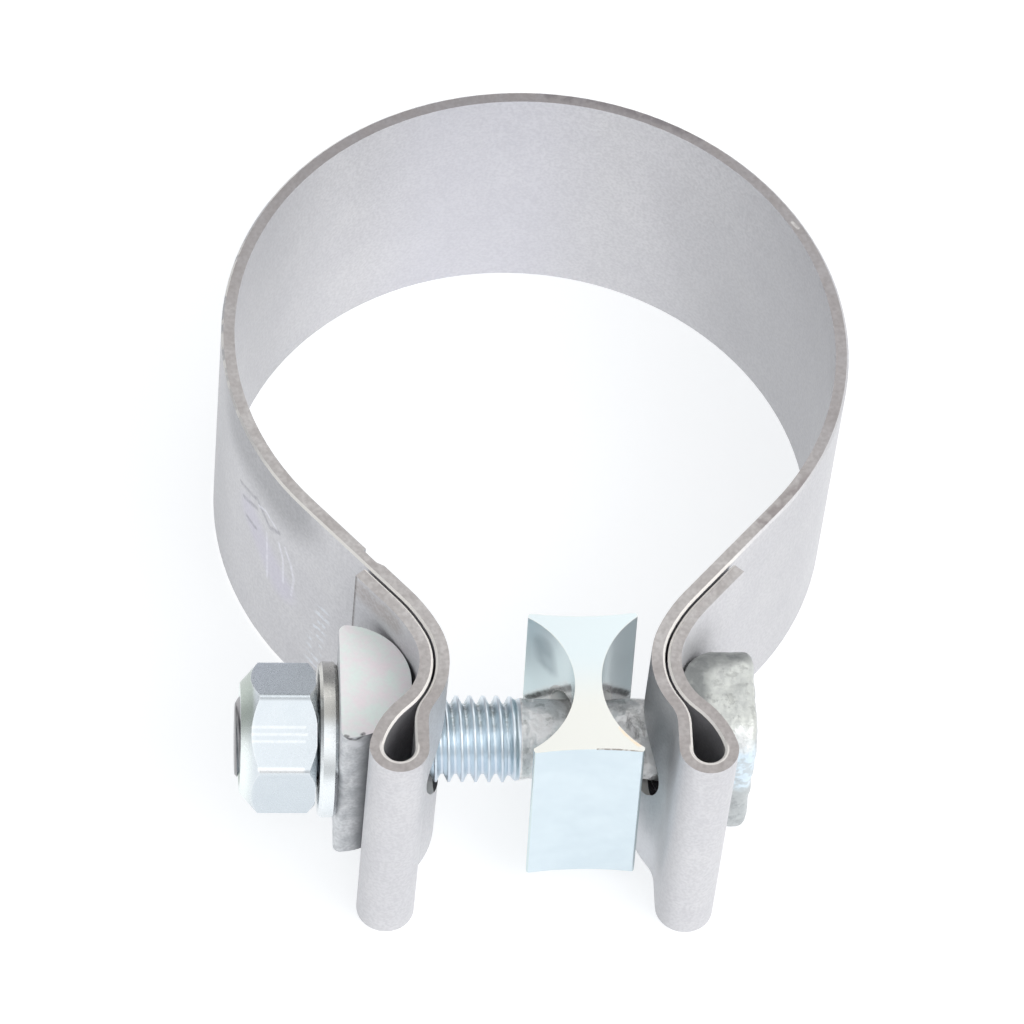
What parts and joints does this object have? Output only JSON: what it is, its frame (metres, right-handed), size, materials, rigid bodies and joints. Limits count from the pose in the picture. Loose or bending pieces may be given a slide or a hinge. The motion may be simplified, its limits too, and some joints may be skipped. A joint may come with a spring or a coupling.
{
  "type": "exhaust clamp",
  "caption": "Band clamp for a lap-joint exhaust pipe: a folded steel strip with looped flanges drawn together by a tee bolt, with a half-round bar, washer, nut and hourglass block.",
  "frame": {"origin": "on the axis of the band's round part, at half the strip's width", "axes": "+Z along the band's axis, +X along the bolt from the nut to the head, +Y from the bolt to the far side of the band"},
  "size_m": [0.0714, 0.094, 0.0334],
  "materials": {
    "band_strip": "matt light grey, as of aluminised steel strip, with bare slit edges",
    "zinc_plate": "bright bluish zinc plate on the nut and washer",
    "bolt_metal": "zinc-plated thread, dull mottled forging skin on the shank and head",
    "cast_zinc_plate": "pale smooth zinc plate on cut steel"
  },
  "bodies": {
    "band_body": {"band": "band_strip", "half_round_bar": "cast_zinc_plate"},
    "bolt_body": {"tee_bolt": "bolt_metal"},
    "nut_body": {"hex_nut": "zinc_plate"},
    "washer_body": {"washer": "zinc_plate"},
    "block_body": {"reaction_block": "cast_zinc_plate"}
  },
  "joints": [
    {"name": "nut_turn", "type": "hinge", "parent": "band_body", "child": "nut_body", "pos_m": [-0.02918, -0.043, -0.0005], "axis": [-1, 0, 0], "range_deg": [0, 1800]},
    {"name": "bolt_slide", "type": "slide", "parent": "band_body", "child": "bolt_body", "axis": [1, 0, 0], "range_m": [0, 0.0075]},
    {"name": "washer_spin", "type": "hinge", "parent": "band_body", "child": "washer_body", "pos_m": [-0.02388, -0.043, -0.0008], "axis": [1, 0, 0], "continuous": true},
    {"name": "block_slide", "type": "slide", "parent": "band_body", "child": "block_body", "axis": [1, 0, 0], "range_m": [-0.0112, 0.0022]}
  ],
  "couplings": [
    {"joint": "bolt_slide", "follows": "nut_turn", "m_per_rad": 0.00023873}
  ]
}
